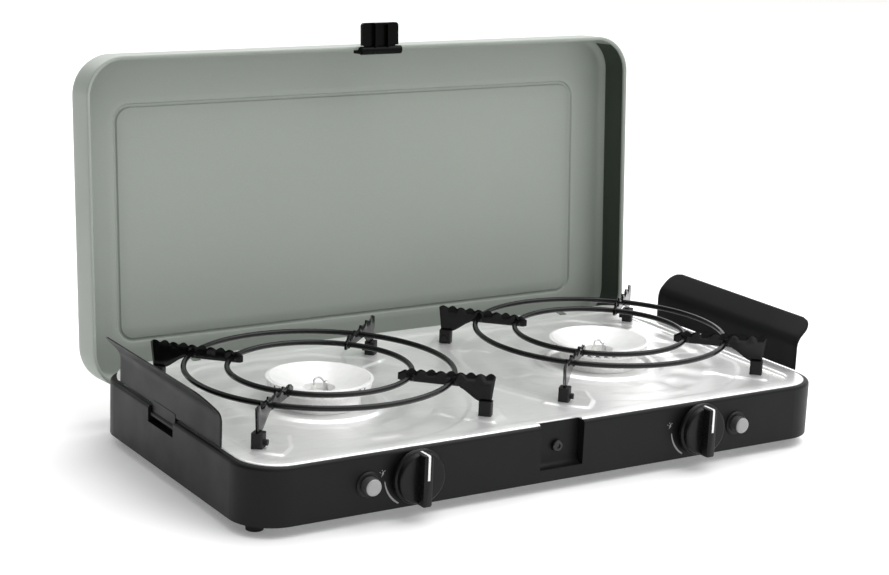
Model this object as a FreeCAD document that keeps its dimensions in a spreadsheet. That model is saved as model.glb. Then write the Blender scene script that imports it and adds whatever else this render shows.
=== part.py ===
import FreeCAD, Part
import math
import os
import re
import Sketcher
from FreeCAD import Placement, Rotation, Vector

# A two-burner camping stove with a hinged lid, drawn with the lid open.
# Millimetres; +X to the right and +Y to the back as the cook sees it, +Z up.
# The parts are drawn about the middle of the base, with the ground at "ground_z"; the stove
# is then moved so that the origin is on the ground, under the middle of its outline.

DIMENSIONS = {
    # base casing
    "base_wide": 550, "base_deep": 280, "base_low": 5, "base_top": 51, "corner_radius": 34,
    "casing_wall": 2, "flange_wide": 14, "lip_wide": 10, "edge_radius": 3, "middle_y": -21.5,
    "ground_z": -4,
    # front recess, latch and strike
    "recess_half": 20.5, "recess_deep": 8.5, "recess_low": 15, "scoop_radius": 6,
    "strike_height": 31, "strike_radius": 4.7, "latch_y": -136.5, "latch_z": 47,
    "barrel_radius": 3.7, "barrel_half": 15.3, "knuckle_half": 20, "flap_half": 18.5,
    "flap_long": 24, "flap_thick": 3, "rib_tall": 3.2, "rib_thick": 1.5, "channel_half": 5.6,
    "latch_pin_radius": 1.5,
    # side recesses and wind guards
    "pocket_start": -8, "pocket_end": 38, "pocket_low": 38, "pocket_deep": 7,
    "guard_x": 271.3, "guard_pivot_z": 44.5, "guard_front": -106, "guard_back": 84.5,
    "guard_low": 52.8, "guard_fold_z": 77.5, "guard_lip_reach": 17.6, "guard_sheet": 1.2,
    "guard_corner": 13, "guard_knuckle": 2.4, "guard_pin_radius": 1.2,
    # bottom plate and feet
    "plate_low": 7, "plate_sheet": 1, "foot_x": 256, "foot_y": 111, "foot_radius": 7.6,
    "screw_x": 170, "screw_y": 133,
    # hob
    "hob_inset": 5.5, "rim_wide": 13, "rim_top": 52.2, "rim_sheet": 1.2, "hob_sheet": 0.8,
    "tray_floor": 48.6, "bowl_radius": 112, "bowl_inner": 60, "bowl_floor": 45,
    "hob_hole": 31,
    # burners
    "burner_x": 140, "burner_y": 4.2, "cup_radius": 34, "cup_top": 60, "body_low": 18,
    "ring_radius": 43.9, "ring_top": 68, "port_count": 36, "port_radius": 1.1,
    "dish_inner": 14, "pillar_radius": 12.5, "pillar_top": 53,
    # gas parts
    "tap_x": 136, "tap_z": 29.7, "tap_front": -132, "valve_radius": 11, "plug_radius": 6.95,
    "spindle_radius": 3, "running_gap": 0.05, "pipe_radius": 4, "pipe_y": -112, "pipe_z": 13,
    "inlet_x": 205, "inlet_z": 16, "rail_bend": 40,
    # knobs and igniters
    "knob_gap": 3.4, "knob_radius": 21.8, "knob_deep": 8.6, "knob_face": 19.4, "bar_half": 4,
    "bar_reach": 19.6, "bar_front": 16.2, "socket_deep": 12,
    "igniter_x": 177, "igniter_z": 28, "bezel_radius": 10.25,
    "button_radius": 7, "button_reach": 10,
    # trivets
    "outer_ring": 109.2, "inner_ring": 74.5, "wire_radius": 2.3, "ring_height": 75,
    "arm_inner": 65, "arm_outer": 144.5, "arm_top": 83, "arm_thick": 2, "arm_angle": 43.5,
    "arm_twist": -1.5,
    "boot_radius": 137.5, "boot_wide": 9, "boot_long": 10.5, "boot_low": 49.42, "boot_top": 61,
    # lid and hinges
    "lid_sheet": 1, "lid_low": 51.1, "lid_deep": 38, "lid_edge": 8, "lid_open": 94,
    "hinge_y": 132.8, "hinge_z": 38.2, "hinge_x": 190, "hinge_pin_radius": 2, "arm_half": 2.5,
    "groove_wide": 4, "groove_deep": 0.6, "groove_half": 235.5, "groove_front": -95,
    "groove_back": 107, "groove_corner": 14,
}

doc = FreeCAD.newDocument("CampingStove")
sheet = doc.addObject("Spreadsheet::Sheet", "Dimensions")
for row, (alias, number) in enumerate(DIMENSIONS.items(), start=1):
    sheet.set(f"A{row}", alias)
    sheet.set(f"B{row}", str(number))
    sheet.setAlias(f"B{row}", alias)
doc.recompute()

SIDES = {"left": -1, "right": 1}
X_AXIS = Vector(1, 0, 0)
Y_AXIS = Vector(0, 1, 0)
Z_AXIS = Vector(0, 0, 1)
parts = []


def formula(text):
    """Spell an expression's bare dimension names out as cells of the sheet."""
    return re.sub(r"[a-z_]+", lambda word: f"Dimensions.{word[0]}" if word[0] in DIMENSIONS
                  else word[0], str(text))


def size(text):
    """The number an expression of dimensions comes to."""
    return float(sheet.evalExpression(formula(text)))


def bind(thing, **properties):
    """Tie properties to the sheet; a double underscore in a name stands for a dot."""
    for name, text in properties.items():
        thing.setExpression(name.replace("__", "."), formula(text))
    return thing


def keep(thing, label, placement=Placement()):
    """Name a finished sub-part and set it in the stove's frame."""
    thing.Label = label
    shift = Placement(Vector(0, size("middle_y"), size("-ground_z")), Rotation())
    thing.Placement = shift * placement * thing.Placement
    parts.append(thing)
    return thing


def about(point, axis, degrees):
    """A turn about an axis through a point."""
    return Placement(Vector(), Rotation(axis, degrees), point)


# ---- drawing tools ---------------------------------------------------------------------

def new_body(name):
    body = doc.addObject("PartDesign::Body", name)
    body.AllowCompound = True
    return body


def new_sketch(body, plane, offset="0"):
    sketch = body.newObject("Sketcher::SketchObject", body.Name + "_sketch")
    support = next(f for f in body.Origin.OriginFeatures if f.Role == plane + "_Plane")
    sketch.AttachmentSupport = [(support, "")]
    sketch.MapMode = "FlatFace"
    bind(sketch, AttachmentOffset__Base__z=offset)
    return sketch


def place_vertex(sketch, line, point, x_text, y_text):
    """Hold a line's first end at bound distances from the sketch's origin."""
    for kind, value, text, axis in (("DistanceX", point.x, x_text, -2),
                                    ("DistanceY", point.y, y_text, -1)):
        if abs(value) < 1e-9:
            sketch.addConstraint(Sketcher.Constraint("PointOnObject", line, 1, axis))
            continue
        number = sketch.addConstraint(Sketcher.Constraint(kind, -1, 1, line, 1, value))
        sketch.setExpression(f"Constraints[{number}]", formula(text))


def draw_outline(sketch, corners):
    """A closed outline of straight lines through corners given as pairs of expressions."""
    points = [Vector(size(x_text), size(y_text), 0) for x_text, y_text in corners]
    count = len(points)
    first = sketch.GeometryCount
    for number, point in enumerate(points):
        sketch.addGeometry(Part.LineSegment(point, points[(number + 1) % count]))
    for number in range(count):
        after = first + (number + 1) % count
        sketch.addConstraint(Sketcher.Constraint("Coincident", first + number, 2, after, 1))
    for number, (x_text, y_text) in enumerate(corners):
        place_vertex(sketch, first + number, points[number], x_text, y_text)


def draw_circle(sketch, x_text, y_text, radius_text):
    centre = Vector(size(x_text), size(y_text), 0)
    number = sketch.addGeometry(Part.Circle(centre, Z_AXIS, size(radius_text)))
    for kind, value, text, axis in (("DistanceX", centre.x, x_text, -2),
                                    ("DistanceY", centre.y, y_text, -1)):
        if abs(value) < 1e-9:
            sketch.addConstraint(Sketcher.Constraint("PointOnObject", number, 3, axis))
        else:
            held = sketch.addConstraint(Sketcher.Constraint(kind, -1, 1, number, 3, value))
            sketch.setExpression(f"Constraints[{held}]", formula(text))
    held = sketch.addConstraint(Sketcher.Constraint("Radius", number, size(radius_text)))
    sketch.setExpression(f"Constraints[{held}]", formula(radius_text))


def padded(name, plane, corners, start, thick):
    """A flat piece: an outline padded by a thickness from an offset of its plane."""
    body = new_body(name)
    sketch = new_sketch(body, plane, start)
    draw_outline(sketch, corners)
    pad = body.newObject("PartDesign::Pad", name + "_pad")
    pad.Profile = sketch
    bind(pad, Length=thick)
    doc.recompute()
    return body


def turned(name, corners):
    """A round piece about Z: an outline of (radius, height) pairs turned once round."""
    body = new_body(name)
    sketch = new_sketch(body, "XZ")
    draw_outline(sketch, corners)
    turn = body.newObject("PartDesign::Revolution", name + "_turn")
    turn.Profile = sketch
    turn.ReferenceAxis = (sketch, ["V_Axis"])
    turn.Angle = 360
    doc.recompute()
    return body


def round_edges(body, radius, wanted):
    """Fillet the edges of a body's tip that a test picks out."""
    tip = body.Tip
    names = [f"Edge{n}" for n, edge in enumerate(tip.Shape.Edges, start=1) if wanted(edge)]
    fillet = body.newObject("PartDesign::Fillet", body.Name + "_fillet")
    fillet.Base = (tip, names)
    bind(fillet, Radius=radius)
    doc.recompute()
    return body


def upright(edge):
    """True for a straight edge along Z."""
    box = edge.BoundBox
    return box.XLength + box.YLength < 1e-6


def slab(name, half_x, half_y, low, thick, corner):
    """A flat slab about the middle of the base, with rounded corners."""
    corners = [(f"-({half_x})", f"-({half_y})"), (half_x, f"-({half_y})"),
               (half_x, half_y), (f"-({half_x})", half_y)]
    body = padded(name, "XY", corners, low, thick)
    return round_edges(body, corner, upright)


def block(name, x_low, x_high, y_low, y_high, z_low, z_high):
    """A plain box between bound limits."""
    box = doc.addObject("Part::Box", name)
    bind(box, Length=f"({x_high}) - ({x_low})", Width=f"({y_high}) - ({y_low})",
         Height=f"({z_high}) - ({z_low})", Placement__Base__x=x_low,
         Placement__Base__y=y_low, Placement__Base__z=z_low)
    return box


def rod(name, radius, length, x_start, y_start, z_start, axis="z"):
    """A plain cylinder from a start point along +X, +Y or +Z."""
    cylinder = doc.addObject("Part::Cylinder", name)
    turns = {"x": Rotation(Y_AXIS, 90), "y": Rotation(X_AXIS, -90), "z": Rotation()}
    cylinder.Placement = Placement(Vector(), turns[axis])
    return bind(cylinder, Radius=radius, Height=length, Placement__Base__x=x_start,
                Placement__Base__y=y_start, Placement__Base__z=z_start)


def fuse(name, *shapes):
    joined = doc.addObject("Part::MultiFuse", name)
    joined.Shapes = list(shapes)
    joined.Refine = True
    doc.recompute()
    return joined


def cut(name, base, *tools):
    tool = tools[0] if len(tools) == 1 else fuse(name + "_tools", *tools)
    result = doc.addObject("Part::Cut", name)
    result.Base = base
    result.Tool = tool
    result.Refine = True
    doc.recompute()
    return result


def free_shape(name, shape):
    """A sub-part whose shape no feature makes: a swept lead, a spring, a row of arms."""
    feature = doc.addObject("Part::Feature", name)
    feature.Shape = shape
    return feature


def swept_tube(route, radius, largest_bend=200):
    """A round tube along straight runs joined by arcs as large as the runs allow."""
    edges = []
    start = route[0]
    for before, corner, after in zip(route, route[1:], route[2:]):
        into = (corner - before).normalize()
        out = (after - corner).normalize()
        turn = into.getAngle(out)
        room = 0.48 * min(corner.distanceToPoint(before), corner.distanceToPoint(after))
        bend = min(room / math.tan(turn / 2), largest_bend)
        reach = bend * math.tan(turn / 2)
        enter = corner - into * reach
        leave = corner + out * reach
        centre_way = (out - into).normalize()
        centre = corner + centre_way * math.hypot(reach, bend)
        middle = centre - centre_way * bend
        edges.append(Part.LineSegment(start, enter).toShape())
        edges.append(Part.Arc(enter, middle, leave).toShape())
        start = leave
    edges.append(Part.LineSegment(start, route[-1]).toShape())
    path = Part.Wire(edges)
    ring = Part.Wire([Part.Circle(route[0], route[1] - route[0], radius).toShape()])
    return path.makePipeShell([ring], True, True)


# ---- base: casing, bottom plate, feet, hob ------------------------------------------------

def screw_holes(name, sign):
    """Holes for the two screws that hold the bottom plate on one side."""
    return [rod(f"{name}_screw_hole_{end}", 1.5, 10, f"{sign}*screw_x", f"{way}*screw_y",
                "base_low - 2") for end, way in (("front", -1), ("rear", 1))]


def make_casing():
    """Black sheet casing: rounded walls, an inward flange on top and a lip underneath."""
    half_x, half_y = "base_wide/2", "base_deep/2"
    tall = "base_top - base_low"
    outer = slab("casing_outer", half_x, half_y, "base_low", tall, "corner_radius")
    top = size("base_top")
    round_edges(outer, "edge_radius", lambda edge: edge.BoundBox.ZMin > top - 1e-6)
    inner = slab("casing_inner", f"{half_x} - casing_wall", f"{half_y} - casing_wall",
                 "base_low + casing_wall", f"{tall} - 2*casing_wall",
                 "corner_radius - casing_wall")
    mouth = slab("casing_mouth", f"{half_x} - flange_wide", f"{half_y} - flange_wide",
                 "base_top - 2*casing_wall", "3*casing_wall", "corner_radius - flange_wide")
    under = slab("casing_under", f"{half_x} - lip_wide", f"{half_y} - lip_wide",
                 "base_low - casing_wall", "3*casing_wall", "corner_radius - lip_wide")
    shell = cut("casing_shell", outer, inner, mouth, under)

    front = "-base_deep/2"
    walls = [block("recess_wall", "-recess_half - casing_wall", "recess_half + casing_wall",
                   f"{front} + 1", f"{front} + recess_deep + casing_wall",
                   "recess_low - casing_wall", "base_top")]
    hollow = block("recess_hollow", "-recess_half", "recess_half", f"{front} - 5",
                   f"{front} + recess_deep", "recess_low", "base_top + 5")
    doc.recompute()
    scoop = doc.addObject("Part::Fillet", "recess_scoop")
    scoop.Base = hollow
    deep = size(f"{front} + recess_deep")
    low = size("recess_low")
    scoop.Edges = [(number, size("scoop_radius"), size("scoop_radius"))
                   for number, edge in enumerate(hollow.Shape.Edges, start=1)
                   if edge.BoundBox.YMin > deep - 1e-6 and edge.BoundBox.ZMax < low + 1e-6]
    hollows = [scoop]
    for side, sign in SIDES.items():
        wall_inner = f"base_wide/2 - pocket_deep - casing_wall"
        spans = {"left": ("pocket_start", "pocket_end"), "right": ("-pocket_end", "-pocket_start")}
        start, end = spans[side]
        x_wall = (f"-base_wide/2 + 1", f"-({wall_inner})") if sign < 0 else (wall_inner,
                                                                         "base_wide/2 - 1")
        x_hollow = (("-base_wide/2 - 5", "-base_wide/2 + pocket_deep") if sign < 0 else
                    ("base_wide/2 - pocket_deep", "base_wide/2 + 5"))
        walls.append(block(f"pocket_wall_{side}", *x_wall, f"{start} - casing_wall",
                           f"{end} + casing_wall", "pocket_low - casing_wall", "base_top"))
        hollows.append(block(f"pocket_hollow_{side}", *x_hollow, start, end, "pocket_low",
                             "base_top + 5"))
        hollows.append(rod(f"pocket_pin_hole_{side}", "guard_pin_radius", f"{end} - {start} + 8",
                           f"{sign}*guard_x", f"{start} - 4", "guard_pivot_z", "y"))
        hollows.append(rod(f"spindle_hole_{side}", 5, 12, f"{sign}*tap_x",
                           f"{front} - 5", "tap_z", "y"))
        hollows.append(rod(f"igniter_hole_{side}", 8.1, 12, f"{sign}*igniter_x",
                           f"{front} - 5", "igniter_z", "y"))
        hollows.append(block(f"hinge_notch_{side}", f"{sign}*hinge_x - arm_half - 1.5",
                             f"{sign}*hinge_x + arm_half + 1.5", "hinge_y - 7.5",
                             "base_deep/2 + 5", "hinge_z - 13", "base_top + 5"))
        hollows += screw_holes(f"casing_{side}", sign)
    hollows.append(rod("strike_hole", 2.5, 12, 0, f"{front} + recess_deep - 2",
                       "strike_height", "y"))
    hollows.append(rod("inlet_hole", 7, 12, "inlet_x", "base_deep/2 - 7", "inlet_z", "y"))
    solid = fuse("casing_walled", shell, *walls)
    keep(cut("base_casing_cut", solid, *hollows), "base_casing")


def make_bottom():
    """Bottom plate with vent slots, its feet and its screws."""
    plate = slab("bottom_sheet", "base_wide/2 - casing_wall - 0.5",
                 "base_deep/2 - casing_wall - 0.5", "plate_low", "plate_sheet",
                 "corner_radius - casing_wall")
    slots = []
    for side, sign in SIDES.items():
        for number in range(-2, 3):
            slots.append(block(f"vent_{side}_{number + 3}", f"{sign}*burner_x - 24",
                               f"{sign}*burner_x + 24", f"burner_y + {number}*22 - 2.5",
                               f"burner_y + {number}*22 + 2.5", "plate_low - 1",
                               "plate_low + 3"))
        slots += screw_holes(f"bottom_{side}", sign)
    keep(cut("bottom_plate_cut", plate, *slots), "bottom_plate")

    feet = []
    screws = []
    for side, sign in SIDES.items():
        for end, way in (("front", -1), ("rear", 1)):
            place = f"{side}_{end}"
            foot = doc.addObject("Part::Cone", f"foot_{place}")
            bind(foot, Radius1="foot_radius - 0.8", Radius2="foot_radius",
                 Height="plate_low - ground_z", Placement__Base__x=f"{sign}*foot_x",
                 Placement__Base__y=f"{way}*foot_y", Placement__Base__z="ground_z")
            feet.append(foot)
            screws.append(rod(f"screw_head_{place}", 3, 1.6, f"{sign}*screw_x",
                              f"{way}*screw_y", "base_low - 1.6"))
            screws.append(rod(f"screw_shank_{place}", 1.5, 6, f"{sign}*screw_x",
                              f"{way}*screw_y", "base_low"))
    keep(fuse("feet_group", *feet), "feet")
    keep(fuse("casing_screws_group", *screws), "casing_screws")


def make_hob():
    """Deep-drawn stainless hob: flat rim, lowered tray and a shallow bowl round each burner."""
    rim_x, rim_y = "base_wide/2 - hob_inset", "base_deep/2 - hob_inset"
    tray_x, tray_y = f"{rim_x} - rim_wide", f"{rim_y} - rim_wide"
    tray_corner = "corner_radius - hob_inset - rim_wide"
    tall = "rim_top - tray_floor"
    rim = slab("hob_rim", rim_x, rim_y, "rim_top - rim_sheet", "rim_sheet",
               "corner_radius - hob_inset")
    pan = slab("hob_pan", f"{tray_x} + hob_sheet", f"{tray_y} + hob_sheet", "tray_floor", tall,
               f"{tray_corner} + hob_sheet")
    hollow = slab("hob_pan_hollow", tray_x, tray_y, "tray_floor + hob_sheet", tall, tray_corner)
    bowls = []
    wells = []
    for side, sign in SIDES.items():
        wells.append(rod(f"hob_opening_{side}", "bowl_radius", 6, f"{sign}*burner_x", "burner_y",
                         "tray_floor - 2"))
        bowl = turned(f"hob_bowl_{side}", [
            ("bowl_radius", "tray_floor"), ("bowl_radius", "tray_floor + hob_sheet"),
            ("bowl_inner", "bowl_floor + hob_sheet"), ("hob_hole", "bowl_floor + hob_sheet"),
            ("hob_hole", "bowl_floor"), ("bowl_inner", "bowl_floor")])
        bowl.Placement = Placement(Vector(sign * size("burner_x"), size("burner_y"), 0),
                                   Rotation())
        bowls.append(bowl)
    notches = [block("hob_latch_notch", "-recess_half", "recess_half", "-base_deep/2",
                     "-base_deep/2 + recess_deep + 4", "rim_top - rim_sheet - 1",
                     "rim_top + 2")]
    for side, sign in SIDES.items():
        notches.append(block(f"hob_hinge_notch_{side}", f"{sign}*hinge_x - arm_half - 1.5",
                             f"{sign}*hinge_x + arm_half + 1.5", "hinge_y - 6.4",
                             "base_deep/2", "rim_top - rim_sheet - 1", "rim_top + 2"))
    sheet_metal = cut("hob_tray", fuse("hob_blank", rim, pan), hollow, *wells, *notches)
    keep(fuse("hob_plate_fuse", sheet_metal, *bowls), "hob_plate")


# ---- burners ---------------------------------------------------------------------------------

def make_burner(side, sign):
    """Cast cup with a central pillar, steel port ring, inner dish and the mixing tube."""
    centre = Placement(Vector(sign * size("burner_x"), size("burner_y"), 0), Rotation())
    cup = turned(f"burner_cup_{side}", [
        ("0", "body_low"), ("24", "body_low"), ("30", "body_low + 6"),
        ("30", "bowl_floor + hob_sheet"), ("cup_radius", "bowl_floor + hob_sheet"),
        ("cup_radius", "cup_top"), ("cup_radius - 2", "cup_top"),
        ("cup_radius - 2", "bowl_floor + hob_sheet + 2"), ("28", "bowl_floor + 1"),
        ("28", "body_low + 7"), ("23", "body_low + 2.5"), ("pillar_radius", "body_low + 2.5"),
        ("pillar_radius", "pillar_top"), ("0", "pillar_top")])
    inlet = rod(f"cup_inlet_{side}", 8, 24, f"{sign}*(tap_x - burner_x)", -40, "tap_z", "y")
    probe_hole = rod(f"cup_probe_hole_{side}", 2, 60, 6, 0, "body_low - 5")
    spark_hole = rod(f"cup_spark_hole_{side}", 3, 60, -5, 0, "body_low - 5")
    body = cut(f"burner_body_{side}_cut", cup, inlet, probe_hole, spark_hole)
    keep(body, f"burner_body_{side}", centre)

    ring = turned(f"port_ring_{side}", [
        ("cup_radius - 2", "cup_top"), ("ring_radius - 0.7", "cup_top"),
        ("ring_radius", "ring_top"), ("ring_radius - 3.2", "ring_top"),
        ("ring_radius - 3.2", "ring_top - 1"), ("ring_radius - 1.2", "ring_top - 1"),
        ("ring_radius - 1.9", "cup_top + 1"), ("cup_radius - 2", "cup_top + 1")])
    ports = new_sketch(ring, "XZ")
    draw_circle(ports, "0", "(cup_top + ring_top)/2", "port_radius")
    drill = ring.newObject("PartDesign::Pocket", f"port_{side}")
    drill.Profile = ports
    drill.Reversed = False
    drill.Type = "ThroughAll"
    doc.recompute()
    around = ring.newObject("PartDesign::PolarPattern", f"ports_{side}")
    around.Originals = [drill]
    axis = next(f for f in ring.Origin.OriginFeatures if f.Role == "Z_Axis")
    around.Axis = (axis, [""])
    around.Angle = 360
    bind(around, Occurrences="port_count")
    ring.Tip = around
    doc.recompute()
    keep(ring, f"burner_port_ring_{side}", centre)

    dish = turned(f"inner_dish_{side}", [
        ("ring_radius - 3.3", "ring_top"), ("ring_radius - 3.3", "ring_top - 1"),
        ("dish_inner", "ring_top - 10"), ("dish_inner", "pillar_top - 1"),
        ("dish_inner - 1", "pillar_top - 1"), ("dish_inner - 1", "ring_top - 9.4")])
    keep(dish, f"burner_dish_{side}", centre)

    tube = turned(f"mixing_tube_{side}", [
        ("6.8", "0"), ("8", "0"), ("8", "14"), ("6", "30"), ("6", "40"), ("9", "57"),
        ("8", "57"), ("5", "40"), ("5", "30"), ("6.8", "14")])
    tube_end = Vector(sign * size("tap_x"), size("burner_y") - 27, size("tap_z"))
    keep(tube, f"venturi_tube_{side}", Placement(tube_end, Rotation(X_AXIS, 90)))


def make_probes(side, sign):
    """Thermocouple and spark electrode that stand in the pillar, each with its lead."""
    x_mid = sign * size("burner_x")
    y_mid = size("burner_y")
    low = size("body_low")
    probe_x = x_mid + 6
    probe = rod(f"probe_{side}", "2 - 0.02", "pillar_top - body_low + 9", f"{probe_x}",
                "burner_y", "body_low + 1")
    probe_edge = doc.addObject("Part::Chamfer", f"probe_tip_{side}")
    probe_edge.Base = probe
    doc.recompute()
    top = max(probe.Shape.Edges, key=lambda edge: edge.BoundBox.ZMin)
    number = next(n for n, edge in enumerate(probe.Shape.Edges, start=1) if edge.isSame(top))
    probe_edge.Edges = [(number, 0.8, 0.8)]
    doc.recompute()
    keep(probe_edge, f"thermocouple_{side}")

    spark_x = x_mid - 5
    collar = rod(f"insulator_collar_{side}", 3, "pillar_top - body_low", f"{spark_x}",
                 "burner_y", "body_low")
    neck = rod(f"insulator_neck_{side}", 2.2, 8, f"{spark_x}", "burner_y", "pillar_top")
    core = rod(f"insulator_core_{side}", 0.8, 12, f"{spark_x}", "burner_y", "pillar_top - 3")
    keep(cut(f"insulator_{side}_cut", fuse(f"insulator_{side}", collar, neck), core),
         f"electrode_insulator_{side}")

    tip_top = size("pillar_top") + 14
    tip = swept_tube([Vector(spark_x, y_mid, size("pillar_top") - 3),
                      Vector(spark_x, y_mid, tip_top),
                      Vector(spark_x + 7, y_mid + 2, tip_top - 1),
                      Vector(spark_x + 11, y_mid + 4, tip_top - 5)], 0.8)
    keep(free_shape(f"electrode_tip_{side}", tip), f"electrode_wire_{side}")

    igniter_x = sign * size("igniter_x")
    igniter_end = size("base_deep") / -2 + 38
    lead = swept_tube([Vector(spark_x, y_mid, low), Vector(spark_x, y_mid, low - 8),
                       Vector(spark_x + sign * 22, y_mid - 50, low - 8),
                       Vector(igniter_x, y_mid - 76, size("igniter_z")),
                       Vector(igniter_x, igniter_end, size("igniter_z"))], 1.1)
    keep(free_shape(f"spark_cable_{side}", lead), f"ignition_lead_{side}")


# ---- gas parts --------------------------------------------------------------------------------

def make_tap(side, sign):
    """Valve body with its plug, the push spindle, return spring, injector and knob."""
    x_mid = sign * size("tap_x")
    front = Placement(Vector(x_mid, size("tap_front"), size("tap_z")), Rotation(X_AXIS, -90))
    shell = turned(f"valve_shell_{side}", [
        ("spindle_radius + running_gap", "0"), ("valve_radius", "0"), ("valve_radius", "32"),
        ("5.5", "32"), ("5.5", "40"), ("3.5", "40"), ("3.5", "34"), ("1.5", "34"),
        ("1.5", "29"), ("plug_radius + running_gap", "29"), ("plug_radius + running_gap", "2"),
        ("spindle_radius + running_gap", "2")])
    shell.Placement = front
    saddle = block(f"saddle_{side}", f"{x_mid} - 8", f"{x_mid} + 8", "pipe_y - 7", "pipe_y + 7",
                   "pipe_z - pipe_radius - 0.8", "tap_z - valve_radius + 2")
    feed = rod(f"saddle_bore_{side}", "pipe_radius", 30, f"{x_mid} - 15", "pipe_y", "pipe_z", "x")
    keep(cut(f"valve_body_{side}_cut", fuse(f"valve_{side}", shell, saddle), feed),
         f"valve_body_{side}")

    plug = turned(f"plug_{side}", [
        ("0", "28.8"), ("plug_radius", "28.8"), ("plug_radius", "14"),
        ("spindle_radius + running_gap", "14"), ("spindle_radius + running_gap", "24"),
        ("0", "24")])
    keep(plug, f"valve_plug_{side}", front)

    reach = size("tap_front + base_deep/2 + knob_gap + socket_deep") - 0.1
    spindle = turned(f"spindle_{side}", [
        ("0", f"-{reach}"), ("spindle_radius", f"-{reach}"), ("spindle_radius", "2.1"),
        ("6.5", "2.1"), ("6.5", "3.6"), ("spindle_radius", "3.6"), ("spindle_radius", "19"),
        ("0", "19")])
    keep(spindle, f"valve_spindle_{side}", front)

    pitch, coils, wire = 1.87, 5, 0.5
    helix = Part.makeHelix(pitch, pitch * coils, 4.6)
    section = Part.Wire([Part.Circle(Vector(4.6, 0, 0), Y_AXIS, wire).toShape()])
    spring = Part.Wire(helix.Edges).makePipeShell([section], True, True)
    spring.translate(Vector(0, 0, 4.12))
    keep(free_shape(f"return_spring_{side}", spring), f"spindle_spring_{side}", front)

    jet = turned(f"jet_{side}", [
        ("0.5", "34"), ("3.5", "34"), ("3.5", "40"), ("5", "40"), ("5", "44"), ("2.5", "47"),
        ("0.5", "47")])
    keep(jet, f"injector_{side}", front)

    back = size("-base_deep/2 - knob_gap")
    disc = turned(f"knob_disc_{side}", [
        ("spindle_radius + 0.01", "0"), ("knob_radius", "0"), ("knob_radius", "2.5"),
        ("knob_face", "knob_deep - 1"), ("knob_face - 1", "knob_deep"),
        ("spindle_radius + 0.01", "knob_deep")])
    bar = block(f"knob_bar_{side}", "-bar_half", "bar_half", "-bar_reach", "bar_reach", 0,
                "bar_front")
    socket = rod(f"knob_socket_{side}", "spindle_radius + 0.01", "socket_deep + 1", 0, 0, -1)
    knob = cut(f"knob_{side}_cut", fuse(f"knob_blank_{side}", disc, bar), socket)
    keep(knob, f"knob_{side}",
         Placement(Vector(x_mid, back, size("tap_z")), Rotation(X_AXIS, 90)))


def make_manifold():
    """Copper gas rail behind the taps and the hose spigot at the back."""
    y_pipe, z_pipe = size("pipe_y"), size("pipe_z")
    end = -size("tap_x") - 12
    x_in, y_in, z_in = size("inlet_x"), size("base_deep") / 2 - 12, size("inlet_z")
    rail = swept_tube([Vector(end, y_pipe, z_pipe), Vector(x_in, y_pipe, z_pipe),
                       Vector(x_in, y_pipe + 80, z_in), Vector(x_in, y_in, z_in)],
                      size("pipe_radius"), size("rail_bend"))
    keep(free_shape("gas_rail", rail), "gas_manifold")
    spigot = turned("gas_spigot", [
        ("2.5", "0"), ("7.8", "0"), ("7.8", "10"), ("7", "10"), ("7", "14"), ("4", "15"), ("4", "35"),
        ("3.4", "36"), ("2.5", "36")])
    keep(spigot, "gas_inlet", Placement(Vector(x_in, y_in, z_in), Rotation(X_AXIS, -90)))


def make_igniter(side, sign):
    """Piezo igniter screwed through the front, with its push button."""
    spot = Placement(Vector(sign * size("igniter_x"), size("base_deep") / -2,
                            size("igniter_z")), Rotation(X_AXIS, -90))
    body = turned(f"piezo_{side}", [
        ("button_radius + running_gap", "-2"), ("bezel_radius - 1", "-2"),
        ("bezel_radius", "-1"), ("bezel_radius", "0"), ("8", "0"), ("8", "38"), ("0", "38"),
        ("0", "20"), ("button_radius + running_gap", "20")])
    keep(body, f"igniter_body_{side}", spot)
    button = turned(f"button_{side}", [
        ("0", "-button_reach"), ("button_radius - 1", "-button_reach"),
        ("button_radius", "-button_reach + 1"), ("button_radius", "12"), ("0", "12")])
    keep(button, f"igniter_button_{side}", spot)


# ---- wind guards, trivets -------------------------------------------------------------------------

def make_guard(side, sign):
    """Folded sheet wing whose tongue turns on a pin in the casing's side pocket."""
    lip = "guard_lip_reach"
    sheet_x = "guard_x - guard_sheet/2"
    half = "guard_sheet/2"
    mitre = f"{half}*tan(22.5 deg)"
    slant = f"{half}*sin(45 deg)"
    wing = padded(f"guard_wing_{side}", "XZ", [
        (f"guard_x - {half}", "guard_low"), (f"guard_x + {half}", "guard_low"),
        (f"guard_x + {half}", f"guard_fold_z - {mitre}"),
        (f"guard_x + {lip} + {slant}", f"guard_fold_z + {lip} - {slant}"),
        (f"guard_x + {lip} - {slant}", f"guard_fold_z + {lip} + {slant}"),
        (f"guard_x - {half}", f"guard_fold_z + {mitre}")],
        "-guard_back", "guard_back - guard_front")
    high = size(f"guard_fold_z + {lip} - 1")
    round_edges(wing, "guard_corner", lambda edge: edge.BoundBox.ZMin > high
                and edge.BoundBox.YLength < 1e-6)
    margin = 2
    tongue = block(f"guard_tongue_{side}", sheet_x, f"{sheet_x} + guard_sheet",
                   f"-pocket_end + {margin}", f"-pocket_start - {margin}", "guard_pivot_z",
                   "guard_low + 1")
    knuckle = rod(f"guard_knuckle_{side}", "guard_knuckle",
                  f"pocket_end - pocket_start - {2 * margin}", "guard_x",
                  f"-pocket_end + {margin}", "guard_pivot_z", "y")
    bore = rod(f"guard_bore_{side}", "guard_pin_radius + running_gap", 80, "guard_x",
               "-pocket_end - 5", "guard_pivot_z", "y")
    guard = cut(f"guard_{side}_cut", fuse(f"guard_{side}", wing, tongue, knuckle), bore)
    turn = Rotation() if sign > 0 else Rotation(Z_AXIS, 180)
    keep(guard, f"wind_guard_{side}", Placement(Vector(), turn))


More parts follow.
